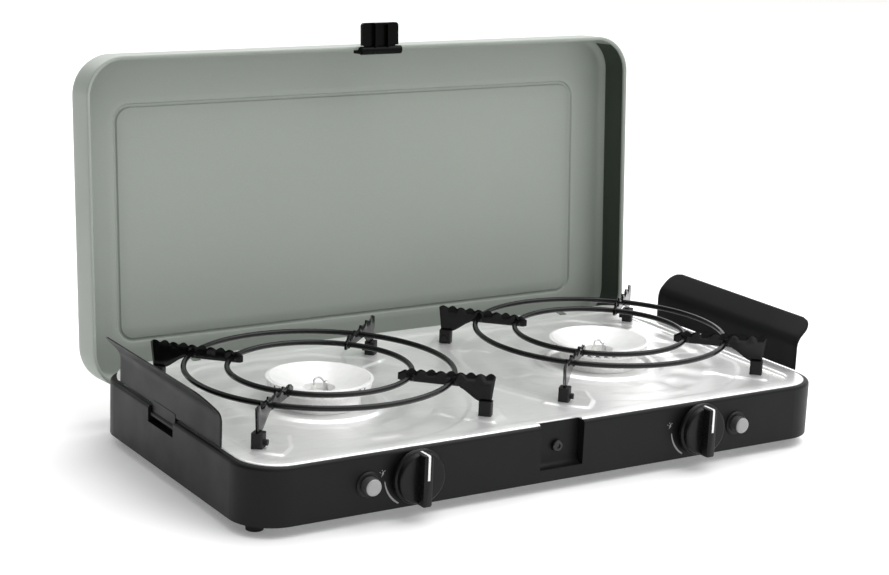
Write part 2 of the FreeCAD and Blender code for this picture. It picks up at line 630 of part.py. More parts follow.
def make_guard_pins():
    """The two fixed pins that the wind guards turn on."""
    pins = []
    for side, start in (("left", "pocket_start"), ("right", "-pocket_end")):
        pins.append(rod(f"guard_pin_{side}", "guard_pin_radius",
                        "pocket_end - pocket_start + 4", f"{SIDES[side]}*guard_x",
                        f"{start} - 2", "guard_pivot_z", "y"))
    keep(fuse("guard_pin_pair", *pins), "guard_pins")


def make_trivet(side, sign):
    """Lift-off pan support: two wire rings threaded through four stamped arms in boots."""
    centre = Placement(Vector(sign * size("burner_x"), size("burner_y"), 0), Rotation())
    for ring in ("outer", "inner"):
        torus = doc.addObject("Part::Torus", f"{ring}_wire_{side}")
        bind(torus, Radius1=f"{ring}_ring", Radius2="wire_radius")
        doc.recompute()
        raised = Placement(Vector(0, 0, size("ring_height")), Rotation())
        keep(torus, f"trivet_{ring}_ring_{side}", centre * raised)

    thick = size("arm_thick")
    inner, outer, top = size("arm_inner"), size("arm_outer"), size("arm_top")
    belly = size("ring_height") - size("wire_radius") - 1
    leg_top, boot_top = belly, size("boot_top")
    leg_outer = size("boot_radius + boot_long/2") - 1
    leg_inner = leg_outer - 8
    edge = [Vector(inner, 0, top - 5), Vector(inner, 0, belly + 1), Vector(inner + 3, 0, belly),
            Vector(leg_inner - 18, 0, leg_top - 0.5), Vector(leg_inner, 0, boot_top),
            Vector(leg_outer, 0, boot_top), Vector(outer, 0, top), Vector(inner + 6, 0, top - 3)]
    blade = Part.Face(Part.makePolygon(edge + [edge[0]])).extrude(Vector(0, thick, 0))
    crests = 7
    pitch = (outer - inner - 8) / crests
    for number in range(crests):
        crest_x = inner + 8 + pitch * (number + 0.5)
        rise = top - 2.6 - 2.2 * (crests - 1 - number) / crests
        crest = Part.makeCylinder(pitch * 0.42, thick, Vector(crest_x, 0, rise), Y_AXIS)
        blade = blade.fuse(crest)
    blade = blade.removeSplitter()
    blade.translate(Vector(0, -thick / 2, 0))
    for ring in ("outer_ring", "inner_ring"):
        wire = Part.makeTorus(size(ring), size("wire_radius") + 0.02,
                              Vector(0, 0, size("ring_height")))
        blade = blade.cut(wire)
    half_long, half_wide = size("boot_long") / 2, size("boot_wide") / 2
    boot = Part.makeBox(2 * half_long, 2 * half_wide, boot_top + 1 - size("boot_low"),
                        Vector(size("boot_radius") - half_long, -half_wide, size("boot_low")))
    boot = boot.makeFillet(1.5, [e for e in boot.Edges if upright(e)])
    ear = Part.makeCylinder(2.4, 4, Vector(size("boot_radius"), half_wide - 1,
                                           size("boot_low") + 5.5), Y_AXIS)
    boot = boot.fuse(ear).cut(blade).removeSplitter()
    arms, boots = [], []
    slant, twist = size("arm_angle"), size("arm_twist")
    for degrees in (slant, 180 - slant, 180 + slant, 360 - slant):
        turn = Placement(Vector(), Rotation(Z_AXIS, degrees + twist))
        arm, shoe = blade.copy(), boot.copy()
        arm.Placement = turn
        shoe.Placement = turn
        arms.append(arm)
        boots.append(shoe)
    keep(free_shape(f"arm_row_{side}", Part.makeCompound(arms)), f"trivet_arms_{side}", centre)
    keep(free_shape(f"boot_row_{side}", Part.makeCompound(boots)), f"trivet_boots_{side}", centre)


# ---- latch strike, lid, hinges and latch ----------------------------------------------------------------

def lid_swing():
    """The turn about the hinge pins that opens the lid from its closed place."""
    return about(Vector(0, size("hinge_y"), size("hinge_z")), X_AXIS, -size("lid_open"))


def make_strike():
    """Shouldered stud in the front recess that the latch snaps over."""
    stud = turned("strike_stud", [
        ("0", "0"), ("2.5", "0"), ("2.5", "3.2"), ("strike_radius", "3.2"),
        ("strike_radius", "4.8"), ("strike_radius - 0.7", "5.3"), ("2", "5.3"), ("2", "4.3"),
        ("0", "4.3")])
    back = size("recess_deep + casing_wall - base_deep/2")
    keep(stud, "latch_strike", Placement(Vector(0, back, size("strike_height")),
                                         Rotation(X_AXIS, 90)))


def make_lid_shell():
    """Pressed steel tray with a shallow frame pressed into its panel."""
    high = "lid_low + lid_deep"
    outer = slab("lid_outer", "base_wide/2", "base_deep/2", "lid_low", "lid_deep",
                 "corner_radius")
    crown = size(high)
    round_edges(outer, "lid_edge", lambda edge: edge.BoundBox.ZMin > crown - 1e-6)
    inner = slab("lid_inner", "base_wide/2 - lid_sheet", "base_deep/2 - lid_sheet",
                 "lid_low - 5", "lid_deep + 5 - lid_sheet", "corner_radius - lid_sheet")
    roof = crown - size("lid_sheet")
    round_edges(inner, "lid_edge - lid_sheet", lambda edge: edge.BoundBox.ZMin > roof - 1e-6)
    frames = []
    for name, grow in (("wide", "groove_wide/2"), ("narrow", "-groove_wide/2")):
        half = f"groove_half + {grow}"
        front, back = f"groove_front - ({grow})", f"groove_back + {grow}"
        corners = [(f"-({half})", front), (half, front), (half, back), (f"-({half})", back)]
        frame = padded(f"lid_frame_{name}", "XY", corners, f"{high} - lid_sheet - 1",
                       "1 + groove_deep")
        frames.append(round_edges(frame, f"groove_corner + {grow}", upright))
    groove = cut("lid_groove", *frames)
    shell = cut("lid_shell_cut", outer, inner, groove)
    keep(shell, "lid_shell", lid_swing())


def make_lid_hinge(side, sign):
    """Cheeked bracket in the base and the cranked arm welded inside the lid's rear wall."""
    x_mid = sign * size("hinge_x")
    cheeks = []
    for number, way in enumerate((-1, 1)):
        near = f"{x_mid} + {way}*(arm_half + 1.4) - 0.8"
        far = f"{x_mid} + {way}*(arm_half + 1.4) + 0.8"
        cheeks.append(block(f"cheek_{side}_{number}", near, far, "hinge_y - 5",
                            "base_deep/2 - casing_wall", "hinge_z - 15", "hinge_z + 6"))
    web = block(f"hinge_web_{side}", f"{x_mid} - arm_half - 2.2", f"{x_mid} + arm_half + 2.2",
                "hinge_y - 5", "base_deep/2 - casing_wall", "hinge_z - 15", "hinge_z - 13.4")
    pin_hole = rod(f"bracket_hole_{side}", "hinge_pin_radius", 30, f"{x_mid} - 15", "hinge_y",
                   "hinge_z", "x")
    keep(cut(f"hinge_bracket_{side}_cut", fuse(f"hinge_bracket_{side}_blank", *cheeks, web), pin_hole),
         f"hinge_bracket_{side}")

    rear = "base_deep/2 - lid_sheet"
    crank = padded(f"hinge_crank_{side}", "YZ", [
        ("hinge_y - 3.3", "hinge_z"), ("hinge_y + 5", "hinge_z"), ("hinge_y + 5", "lid_low - 1"),
        (rear, "lid_low + 3"), (rear, "lid_low + 16"), (f"{rear} - 8", "lid_low + 16"),
        (f"{rear} - 8", "lid_low + 5"), ("hinge_y - 3.3", "lid_low - 1")],
        f"{x_mid} - arm_half", "2*arm_half")
    eye = rod(f"hinge_eye_{side}", 5, "2*arm_half", f"{x_mid} - arm_half", "hinge_y", "hinge_z",
              "x")
    bore = rod(f"hinge_bore_{side}", "hinge_pin_radius + running_gap", 30, f"{x_mid} - 15",
               "hinge_y", "hinge_z", "x")
    keep(cut(f"hinge_arm_{side}_cut", fuse(f"hinge_arm_{side}_blank", crank, eye), bore),
         f"lid_hinge_arm_{side}", lid_swing())


def make_hinge_pins():
    """The two riveted pins that the lid's arms turn on."""
    pins = [rod(f"hinge_pin_{side}", "hinge_pin_radius", "2*arm_half + 4.4",
                f"{sign}*hinge_x - arm_half - 2.2", "hinge_y", "hinge_z", "x")
            for side, sign in SIDES.items()]
    keep(fuse("hinge_pin_pair", *pins), "hinge_pins")


def make_latch():
    """Knuckle bracket inside the lid's front wall, its pin and the snap-over flap."""
    wall = "-base_deep/2 + lid_sheet"
    ears = []
    for number, (low, high) in enumerate((("-knuckle_half", "-barrel_half - 0.2"),
                                          ("barrel_half + 0.2", "knuckle_half"))):
        ears.append(rod(f"knuckle_{number}", "barrel_radius", f"({high}) - ({low})", low,
                        "latch_y", "latch_z", "x"))
        ears.append(block(f"ear_{number}", low, high, wall, "latch_y + 3", "latch_z",
                          "lid_low + 9"))
    bridge = block("latch_bridge", "-knuckle_half", "knuckle_half", wall, f"{wall} + 2.5",
                   "lid_low + 1.5", "lid_low + 9")
    hole = rod("bracket_pin_hole", "latch_pin_radius", 60, -30, "latch_y", "latch_z", "x")
    keep(cut("latch_bracket_cut", fuse("latch_bracket_blank", *ears, bridge), hole),
         "latch_bracket", lid_swing())
    pin = turned("latch_rod", [
        ("0", "-knuckle_half"), ("latch_pin_radius - 0.3", "-knuckle_half"),
        ("latch_pin_radius", "-knuckle_half + 0.3"), ("latch_pin_radius", "knuckle_half - 0.3"),
        ("latch_pin_radius - 0.3", "knuckle_half"), ("0", "knuckle_half")])
    across = Placement(Vector(0, size("latch_y"), size("latch_z")), Rotation(Y_AXIS, 90))
    keep(pin, "latch_pin", lid_swing() * across)

    tip = "latch_y - flap_long"
    plate_low = "latch_z + 0.5"
    barrel = rod("flap_barrel", "barrel_radius", "2*barrel_half", "-barrel_half", "latch_y",
                 "latch_z", "x")
    root = block("flap_root", "-barrel_half", "barrel_half", "latch_y - 5", "latch_y",
                 plate_low, f"{plate_low} + flap_thick")
    plate = padded("flap_plate", "XY", [
        ("-flap_half", tip), ("flap_half", tip), ("flap_half", "latch_y - 4.2"),
        ("-flap_half", "latch_y - 4.2")], plate_low, "flap_thick")
    far = size(tip)
    round_edges(plate, "3", lambda edge: upright(edge) and edge.BoundBox.YMax < far + 1e-6)
    ribs = [block("flap_end_rib", "-channel_half - rib_thick", "channel_half + rib_thick", tip,
                  f"{tip} + rib_thick", "latch_z - rib_tall", f"{plate_low} + 1")]
    for number, way in enumerate((-1, 1)):
        near = f"{way}*(channel_half + rib_thick/2) - rib_thick/2"
        far_side = f"{way}*(channel_half + rib_thick/2) + rib_thick/2"
        ribs.append(block(f"flap_rib_{number}", near, far_side, tip, "latch_y - 3",
                          "latch_z - rib_tall", f"{plate_low} + 1"))
    bore = rod("flap_bore", "latch_pin_radius + running_gap", 60, -30, "latch_y", "latch_z", "x")
    keep(cut("latch_flap_cut", fuse("latch_flap_blank", barrel, root, plate, *ribs), bore),
         "latch_flap", lid_swing())


make_casing()
make_bottom()
make_hob()
for side, sign in SIDES.items():
    make_burner(side, sign)
    make_probes(side, sign)
    make_tap(side, sign)
    make_igniter(side, sign)
    make_guard(side, sign)
    make_trivet(side, sign)
    make_lid_hinge(side, sign)
make_manifold()
make_guard_pins()
make_strike()
make_lid_shell()
make_hinge_pins()
make_latch()
doc.recompute()

faults = [thing.Name for thing in doc.Objects
          if "Invalid" in thing.State or "Error" in thing.State]
faults += [thing.Label for thing in parts if thing.Shape.isNull() or not thing.Shape.isValid()]
if faults:
    raise RuntimeError("these failed: " + ", ".join(faults))

os.makedirs("parts", exist_ok=True)
for thing in parts:
    thing.Shape.exportStep(f"parts/{thing.Label}.step")
print(len(parts), "parts written")
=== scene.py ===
"""Two-burner camping stove with its lid open: looks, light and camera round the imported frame."""
import math

import bmesh
import bpy
from mathutils import Matrix, Vector


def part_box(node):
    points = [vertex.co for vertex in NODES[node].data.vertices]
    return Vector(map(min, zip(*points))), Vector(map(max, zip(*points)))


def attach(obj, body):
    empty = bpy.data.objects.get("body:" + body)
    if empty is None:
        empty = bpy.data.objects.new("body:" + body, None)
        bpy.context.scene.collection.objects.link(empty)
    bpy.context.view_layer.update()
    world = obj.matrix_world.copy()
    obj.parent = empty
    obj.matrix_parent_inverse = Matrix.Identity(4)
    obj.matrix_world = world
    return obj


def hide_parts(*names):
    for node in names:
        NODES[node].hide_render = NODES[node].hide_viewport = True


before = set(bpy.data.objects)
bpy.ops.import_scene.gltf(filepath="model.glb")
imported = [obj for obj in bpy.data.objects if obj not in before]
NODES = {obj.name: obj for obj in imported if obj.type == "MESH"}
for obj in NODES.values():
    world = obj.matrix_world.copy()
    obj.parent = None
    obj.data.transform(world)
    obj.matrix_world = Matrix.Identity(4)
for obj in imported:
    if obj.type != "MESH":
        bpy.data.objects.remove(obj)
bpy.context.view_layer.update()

BASE_LOW, BASE_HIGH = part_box("base_casing")
ORIGIN = Vector((0.0, (BASE_LOW.y + BASE_HIGH.y) / 2, BASE_LOW.z - 0.005))
SIDES = {"left": -1, "right": 1}

# Sizes in the casing's own frame, millimetres and degrees
CASE_X, CASE_Y, CASE_CORNER = 275.0, 140.0, 34.0
BURNER_X, BURNER_Y, WELL_RADIUS = 140.0, 4.2, 31.5
TAP_X, TAP_Z = 136.0, 29.7
HINGE_Y, HINGE_Z, LID_OPEN = 132.8, 38.2, 94.0
KNOB_BACK = -CASE_Y - 3.4
PRINT_PLANE = -CASE_Y - 0.06


def at(x, y, z):
    """A point of the casing's own millimetre frame as a place in the scene."""
    return ORIGIN + Vector((x, y, z)) / 1000


def smooth_step(low, high, value):
    t = min(max((value - low) / (high - low), 0.0), 1.0)
    return t * t * (3 - 2 * t)


# ---- materials -----------------------------------------------------------------------------

class Finish:
    """A node material: base colour with patches and grain, varied roughness and a fine bump."""

    def __init__(self, name):
        self.material = bpy.data.materials.new(name)
        self.material.use_nodes = True
        self.tree = self.material.node_tree
        self.shader = self.tree.nodes["Principled BSDF"]
        self.coords = self.tree.nodes.new("ShaderNodeTexCoord")

    def join(self, output, socket):
        self.tree.links.new(output, socket)

    def place(self, stretch=(1, 1, 1)):
        node = self.tree.nodes.new("ShaderNodeMapping")
        node.inputs["Scale"].default_value = stretch
        self.join(self.coords.outputs["Object"], node.inputs["Vector"])
        return node.outputs["Vector"]

    def noise(self, scale, stretch=(1, 1, 1), detail=3.0, rough=0.55, distort=0.0):
        node = self.tree.nodes.new("ShaderNodeTexNoise")
        node.inputs["Scale"].default_value = scale
        node.inputs["Detail"].default_value = detail
        node.inputs["Roughness"].default_value = rough
        node.inputs["Distortion"].default_value = distort
        self.join(self.place(stretch), node.inputs["Vector"])
        return node.outputs["Fac"]

    def cells(self, scale):
        node = self.tree.nodes.new("ShaderNodeTexVoronoi")
        node.inputs["Scale"].default_value = scale
        self.join(self.place(), node.inputs["Vector"])
        return node.outputs["Distance"]

    def span(self, value, low, high, to_low=0.0, to_high=1.0):
        node = self.tree.nodes.new("ShaderNodeMapRange")
        node.inputs["From Min"].default_value = low
        node.inputs["From Max"].default_value = high
        node.inputs["To Min"].default_value = to_low
        node.inputs["To Max"].default_value = to_high
        self.join(value, node.inputs["Value"])
        return node.outputs["Result"]

    def mix(self, factor, first, second):
        node = self.tree.nodes.new("ShaderNodeMix")
        node.data_type = "RGBA"
        self.join(factor, node.inputs["Factor"])
        for socket, value in ((node.inputs["A"], first), (node.inputs["B"], second)):
            if isinstance(value, tuple):
                socket.default_value = (*value, 1.0)
            else:
                self.join(value, socket)
        return node.outputs["Result"]

    def bump(self, height, strength, depth_mm, under=None):
        node = self.tree.nodes.new("ShaderNodeBump")
        node.inputs["Strength"].default_value = strength
        node.inputs["Distance"].default_value = depth_mm / 1000
        self.join(height, node.inputs["Height"])
        if under is not None:
            self.join(under, node.inputs["Normal"])
        return node.outputs["Normal"]


def shade(colour, amount):
    return tuple(min(channel * amount, 1.0) for channel in colour)


def make_finish(name, colour, rough, metal=0.0, tint=0.12, patch=9.0, grain=900.0,
                grain_tint=0.1, spread=0.07, bump=0.2, depth=0.04, stretch=(1, 1, 1),
                cells=0.0, wave=0.0, specular=0.5, coat=0.0):
    """A moulded, coated, drawn or cast surface, by how its patches, grain and bump are set."""
    finish = Finish(name)
    broad = finish.noise(patch, distort=0.6)
    fine = finish.noise(grain, stretch, detail=4.0)
    patchy = finish.mix(finish.span(broad, 0.3, 0.7), shade(colour, 1 - tint),
                        shade(colour, 1 + tint))
    speck = finish.span(fine, 0.35, 0.65)
    grey = finish.mix(speck, (1 - grain_tint,) * 3, (1.0, 1.0, 1.0))
    times = finish.tree.nodes.new("ShaderNodeMix")
    times.data_type = "RGBA"
    times.blend_type = "MULTIPLY"
    times.inputs["Factor"].default_value = 1.0
    finish.join(patchy, times.inputs["A"])
    finish.join(grey, times.inputs["B"])
    finish.join(times.outputs["Result"], finish.shader.inputs["Base Color"])
    worn = finish.noise(patch * 5, detail=5.0)
    finish.join(finish.span(worn, 0.3, 0.7, rough - spread, rough + spread),
                finish.shader.inputs["Roughness"])
    height = finish.cells(cells) if cells else fine
    normal = finish.bump(height, bump, depth)
    if wave:
        normal = finish.bump(finish.noise(wave, detail=1.0), 0.35, 1.2, normal)
    finish.join(normal, finish.shader.inputs["Normal"])
    finish.shader.inputs["Metallic"].default_value = metal
    finish.shader.inputs["Specular IOR Level"].default_value = specular
    finish.shader.inputs["Coat Weight"].default_value = coat
    finish.shader.inputs["Coat Roughness"].default_value = 0.12
    return finish.material


MATERIALS = {
    "black_coat": make_finish("black_coat", (0.0065, 0.0065, 0.007), 0.42, tint=0.1, patch=5,
                              cells=1500, bump=0.3, depth=0.035, specular=0.17),
    "black_steel": make_finish("black_steel", (0.006, 0.006, 0.007), 0.28, cells=1700,
                               bump=0.12, specular=0.45),
    "zinc_steel": make_finish("zinc_steel", (0.5, 0.51, 0.52), 0.5, metal=0.85, patch=30,
                              cells=260, tint=0.18),
    "lid_paint": make_finish("lid_paint", (0.325, 0.358, 0.322), 0.4, tint=0.03, patch=2.5,
                             cells=1300, grain_tint=0.04, bump=0.16, depth=0.03, wave=5,
                             specular=0.4),
    "stainless_sheet": make_finish("stainless_sheet", (0.97, 0.97, 0.965), 0.32, metal=0.64,
                                   tint=0.02, patch=5, grain=150, grain_tint=0.05,
                                   stretch=(0.3, 3, 1), spread=0.04, bump=0.005, depth=0.01,
                                   wave=16),
    "steel_fittings": make_finish("steel_fittings", (0.62, 0.62, 0.62), 0.3, metal=1.0,
                                  grain=1400, stretch=(1, 1, 0.2)),
    "black_enamel": make_finish("black_enamel", (0.003, 0.003, 0.0035), 0.2, patch=22,
                                cells=420, bump=0.08, depth=0.05, specular=0.26, coat=0.1),
    "black_rubber": make_finish("black_rubber", (0.009, 0.009, 0.009), 0.6, grain=1800,
                                bump=0.35, depth=0.05, specular=0.3),
    "black_plastic": make_finish("black_plastic", (0.005, 0.005, 0.0055), 0.3, grain=2600,
                                 bump=0.2, depth=0.02, specular=0.2),
    "bezel_plastic": make_finish("bezel_plastic", (0.008, 0.008, 0.009), 0.4, grain=2600,
                                 bump=0.2, depth=0.02, specular=0.25),
    "grey_plastic": make_finish("grey_plastic", (0.33, 0.33, 0.33), 0.42, grain=2200,
                                bump=0.15, depth=0.02, tint=0.05),
    "cast_aluminium": make_finish("cast_aluminium", (0.85, 0.85, 0.84), 0.42, metal=0.5,
                                  cells=900, bump=0.15, depth=0.05, patch=40),
    "burner_steel": make_finish("burner_steel", (0.95, 0.95, 0.945), 0.36, metal=0.3, tint=0.05,
                                patch=30, grain=200, grain_tint=0.03, bump=0.005, spread=0.03),
    "latch_black": make_finish("latch_black", (0.0015, 0.0018, 0.0015), 0.3, grain=2600,
                               bump=0.2, depth=0.02, specular=0.07),
    # Painted shade: near-black for the burner's slot faces, standing in for the shadow inside the
    # port openings
    "port_painted_shade": make_finish("port_painted_shade", (0.03, 0.03, 0.03), 0.7, grain=1500),
    "button_side": make_finish("button_side", (0.06, 0.06, 0.06), 0.4, grain=2200,
                               bump=0.15, depth=0.02, specular=0.3),
    # Painted shade: a dark green for the inside faces of the lid's side walls, standing in for the
    # shadow that falls there
    "lid_inner": make_finish("lid_inner", (0.05, 0.062, 0.05), 0.5, tint=0.05, patch=2.5,
                             cells=1300, bump=0.16, depth=0.03, specular=0.25),
    "brass": make_finish("brass", (0.74, 0.54, 0.24), 0.28, metal=1.0, grain=1600,
                         stretch=(1, 0.12, 1)),
    "copper_pipe": make_finish("copper_pipe", (0.72, 0.38, 0.24), 0.3, metal=1.0, patch=35,
                               tint=0.2),
    "ceramic_white": make_finish("ceramic_white", (0.86, 0.85, 0.81), 0.16, tint=0.03,
                                 patch=60, bump=0.06, coat=0.4),
    "lead_sleeve": make_finish("lead_sleeve", (0.36, 0.03, 0.025), 0.55, grain=1500),
    "grey_print": make_finish("grey_print", (0.3, 0.3, 0.3), 0.5, grain=3000, bump=0.1,
                              depth=0.01, grain_tint=0.15),
    "white_print": make_finish("white_print", (0.95, 0.95, 0.94), 0.5, grain=3000, bump=0.1,
                               depth=0.01, grain_tint=0.15),
}


# ---- mesh helpers ----------------------------------------------------------------------------

def rounded_loop(x_low, x_high, y_low, y_high, radius, steps=10, run=8, marks=()):
    """Anticlockwise points of a rounded rectangle; marks are extra x places on its long runs."""
    corners = ((x_high, y_low, -90), (x_high, y_high, 0), (x_low, y_high, 90),
               (x_low, y_low, 180))
    points = []
    for number, (x, y, start) in enumerate(corners):
        centre_x = x - math.copysign(radius, x - (x_low + x_high) / 2)
        centre_y = y - math.copysign(radius, y - (y_low + y_high) / 2)
        arc = [(centre_x + radius * math.cos(math.radians(start + 90 * k / steps)),
                centre_y + radius * math.sin(math.radians(start + 90 * k / steps)))
               for k in range(steps + 1)]
        points += arc
        x_next, y_next, _ = corners[(number + 1) % 4]
        if number % 2:
            end_x = x_next - math.copysign(radius, x_next - (x_low + x_high) / 2)
            places = [arc[-1][0] + (end_x - arc[-1][0]) * k / run for k in range(1, run)]
            places = sorted(set(places) | set(marks), reverse=end_x < arc[-1][0])
            points += [(place, arc[-1][1]) for place in places]
        else:
            end_y = y_next - math.copysign(radius, y_next - (y_low + y_high) / 2)
            points += [(arc[-1][0], arc[-1][1] + (end_y - arc[-1][1]) * k / run)
                       for k in range(1, run)]
    return points


def bridge(mesh, rings, closed=True):
    """Faces between rows of points that all have the same number of points."""
    rows = [[mesh.verts.new(point) for point in ring] for ring in rings]
    count = len(rows[0])
    last = count if closed else count - 1
    for low, high in zip(rows, rows[1:]):
        for k in range(last):
            mesh.faces.new((low[k], low[(k + 1) % count], high[(k + 1) % count], high[k]))
    return rows


def revolve(mesh, profile, centre, axis="z", steps=96):
    """A closed or open turned profile of (radius, along) pairs about an axis through centre."""
    rings = []
    for radius, along in profile:
        ring = []
        for k in range(steps):
            angle = 2 * math.pi * k / steps
            across = (radius * math.cos(angle), radius * math.sin(angle))
            if axis == "z":
                ring.append((centre[0] + across[0], centre[1] + across[1], centre[2] + along))
            else:
                ring.append((centre[0] + across[0], centre[1] - along, centre[2] + across[1]))
        rings.append(ring)
    return bridge(mesh, rings)


def finish_piece(name, mesh, material, body, nodes=(), turn=None, crease=32, bevel=0.0):
    """Turns millimetre mesh data into a named object on its body."""
    if turn is not None:
        bmesh.ops.transform(mesh, matrix=turn, verts=mesh.verts)
    bmesh.ops.recalc_face_normals(mesh, faces=mesh.faces)
    data = bpy.data.meshes.new(name)
    bmesh.ops.transform(mesh, matrix=Matrix.Translation(ORIGIN) @ Matrix.Scale(0.001, 4),
                        verts=mesh.verts)
    mesh.to_mesh(data)
    mesh.free()
    for polygon in data.polygons:
        polygon.use_smooth = True
    data.set_sharp_from_angle(angle=math.radians(crease))
    data.materials.append(MATERIALS[material])
    piece = bpy.data.objects.new(name, data)
    bpy.context.scene.collection.objects.link(piece)
    if bevel:
        modifier = piece.modifiers.new("edges", "BEVEL")
        modifier.width = bevel / 1000
        modifier.segments = 3
        modifier.limit_method = "ANGLE"
    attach(piece, body)
    if nodes:
        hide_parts(*nodes)
    return piece


# ---- hob ---------------------------------------------------------------------------------------

HOB_X, HOB_Y, HOB_CORNER = 269.5, 137.0, 31.0
TRAY_INSET, TRAY_Z = 18.0, 49.4
LATCH_HALF, LATCH_FRONT = 20.5, -131.0
HINGE_GAP, HINGE_BACK = (186, 194), 126.4
NOTCH_MARKS = [side * edge + step for side in (-1, 1) for edge in (*HINGE_GAP, LATCH_HALF)
               for step in (-0.001, 0.001)]


def tray_height(x, y):
    """Pressed shape of the tray: steps and a bowl round each burner, pads under the feet."""
    z = TRAY_Z
    near = min(SIDES.values(), key=lambda sign: abs(x - sign * BURNER_X))
    from_x, from_y = x - near * BURNER_X, y - BURNER_Y
    reach = math.hypot(from_x, from_y)
    z -= 0.9 * smooth_step(124, 120, reach)
    z -= 1.0 * smooth_step(104, 92, reach)
    z -= 1.7 * smooth_step(78, 63, reach)
    z += 2.4 * smooth_step(58, 53, reach)
    z -= 2.6 * smooth_step(48, 42, reach)
    slant = math.atan2(abs(from_y), abs(from_x)) - math.radians(43.5)
    along, across = reach * math.cos(slant), abs(reach * math.sin(slant))
    wide = 7 + 11 * smooth_step(96, 132, along)
    z += 1.0 * smooth_step(wide + 2.5, wide, across) * smooth_step(92, 99, along) \
        * smooth_step(150, 146, along)
    for angle in (0, 90):
        turned = abs(math.atan2(abs(from_y), abs(from_x)) - math.radians(angle))
        z += 0.55 * smooth_step(0.16, 0.1, turned) * smooth_step(64, 70, reach) \
            * smooth_step(112, 106, reach)
    z += 0.7 * smooth_step(9, 5, abs(abs(x) - 0.35 * abs(y))) * smooth_step(112, 96, abs(y))
    ripple = math.sin(15 * math.atan2(from_y, from_x)) * smooth_step(62, 70, reach)
    z += 0.28 * ripple * smooth_step(101, 92, reach)
    edge = min(HOB_X - TRAY_INSET - abs(x), HOB_Y - TRAY_INSET - abs(y))
    return TRAY_Z + (min(z, TRAY_Z + 1) - TRAY_Z) * smooth_step(0, 7, edge) + rear_rise(y)


def rear_rise(y):
    """The tray's rear flange slopes up towards the lid."""
    return 5.6 * smooth_step(98, 140, y)


def make_hob():
    """Flat rim with its rolled edge, notched for the latch and hinges, and the tray inside it."""
    mesh = bmesh.new()
    profile = [(0.3, 50.9), (0.0, 51.1), (0.0, 51.4), (0.25, 51.8), (0.9, 52.1), (2.0, 52.25),
               (10.5, 52.3), (12.6, 52.2), (13.8, 51.8), (14.6, 51.1), (15.2, 50.4),
               (15.9, 49.85), (16.8, 49.5), (TRAY_INSET, TRAY_Z)]
    rings = []
    for inset, z in profile:
        loop = rounded_loop(-HOB_X + inset, HOB_X - inset, -HOB_Y + inset, HOB_Y - inset,
                            HOB_CORNER - inset, marks=NOTCH_MARKS)
        ring = []
        for x, y in loop:
            if abs(x) < LATCH_HALF:
                y = max(y, LATCH_FRONT)
            if HINGE_GAP[0] < abs(x) < HINGE_GAP[1]:
                y = min(y, HINGE_BACK)
            flat = smooth_step(84, 116, y)
            ring.append((x, y, z + (TRAY_Z - z) * flat * 0.85 + rear_rise(y)))
        rings.append(ring)
    bridge(mesh, rings)
    half_x, half_y = HOB_X - TRAY_INSET, HOB_Y - TRAY_INSET
    corner = HOB_CORNER - TRAY_INSET
    columns, rows = 340, 160
    grid = []
    for i in range(columns + 1):
        line = []
        for j in range(rows + 1):
            x = -half_x + 2 * half_x * i / columns
            y = -half_y + 2 * half_y * j / rows
            line.append(place_on_tray(mesh, x, y, half_x - corner, half_y - corner, corner))
        grid.append(line)
    for i in range(columns):
        for j in range(rows):
            quad = (grid[i][j], grid[i + 1][j], grid[i + 1][j + 1], grid[i][j + 1])
            if any(inside for _, inside in quad):
                mesh.faces.new([vert for vert, _ in quad])
    bmesh.ops.remove_doubles(mesh, verts=mesh.verts, dist=0.02)
    finish_piece("hob_tray", mesh, "stainless_sheet", "base",
                 ("hob_plate",), crease=40)


def place_on_tray(mesh, x, y, run_x, run_y, corner):
    """A tray vertex, pulled onto the rounded corner or the burner hole where it lies beyond."""
    inside = True
    over_x, over_y = abs(x) - run_x, abs(y) - run_y
    if over_x > 0 and over_y > 0 and math.hypot(over_x, over_y) > corner:
        scale = corner / math.hypot(over_x, over_y)
        x = math.copysign(run_x + over_x * scale, x)
        y = math.copysign(run_y + over_y * scale, y)
        inside = False
    near = math.copysign(BURNER_X, x)
    reach = math.hypot(x - near, y - BURNER_Y)
    if reach < WELL_RADIUS:
        inside = False
        scale = WELL_RADIUS / max(reach, 0.001)
        x, y = near + (x - near) * scale, BURNER_Y + (y - BURNER_Y) * scale
    return mesh.verts.new((x, y, tray_height(x, y))), inside


# ---- burners ------------------------------------------------------------------------------

def make_port_ring(side, sign):
    """Pressed burner crown: thin rolled lip, a wall with a row of slots and a sloping foot; the
    slots are only pressed in and coloured dark as painted shade of the openings.
    """
    mesh = bmesh.new()
    centre = (sign * BURNER_X, BURNER_Y, 0)
    profile = [(32.2, 60.0), (40.6, 60.0), (41.6, 60.5), (42.0, 61.2), (42.2, 62.2),
               (42.6, 65.2), (42.9, 66.4), (43.5, 66.7), (43.9, 67.2), (43.8, 67.8), (43.2, 68.0),
               (41.4, 68.0), (40.8, 67.6), (40.6, 66.8), (41.2, 66.2), (40.9, 61.6), (32.2, 61.0)]
    steps, slot_steps, slot_rows = 180, 5, (4, 5)
    rows = revolve(mesh, profile, centre, steps=steps)
    for row in slot_rows:
        for k in range(steps):
            if k % slot_steps < 3:
                vert = rows[row][k]
                vert.co.x += (centre[0] - vert.co.x) * 0.03
                vert.co.y += (centre[1] - vert.co.y) * 0.03
    # Faces across each slot take the second material: painted shade in place of real openings
    ported = set()
    low, high = slot_rows
    for k in range(0, steps, slot_steps):
        for step in (k, k + 1):
            ported.add(frozenset((rows[low][step], rows[high][step + 1])))
    for face in mesh.faces:
        if frozenset((face.verts[0], face.verts[2])) in ported \
                or frozenset((face.verts[1], face.verts[3])) in ported:
            face.material_index = 1
    piece = finish_piece("burner_crown_" + side, mesh, "burner_steel", "base",
                         ("burner_port_ring_" + side,), crease=28)
    piece.data.materials.append(MATERIALS["port_painted_shade"])


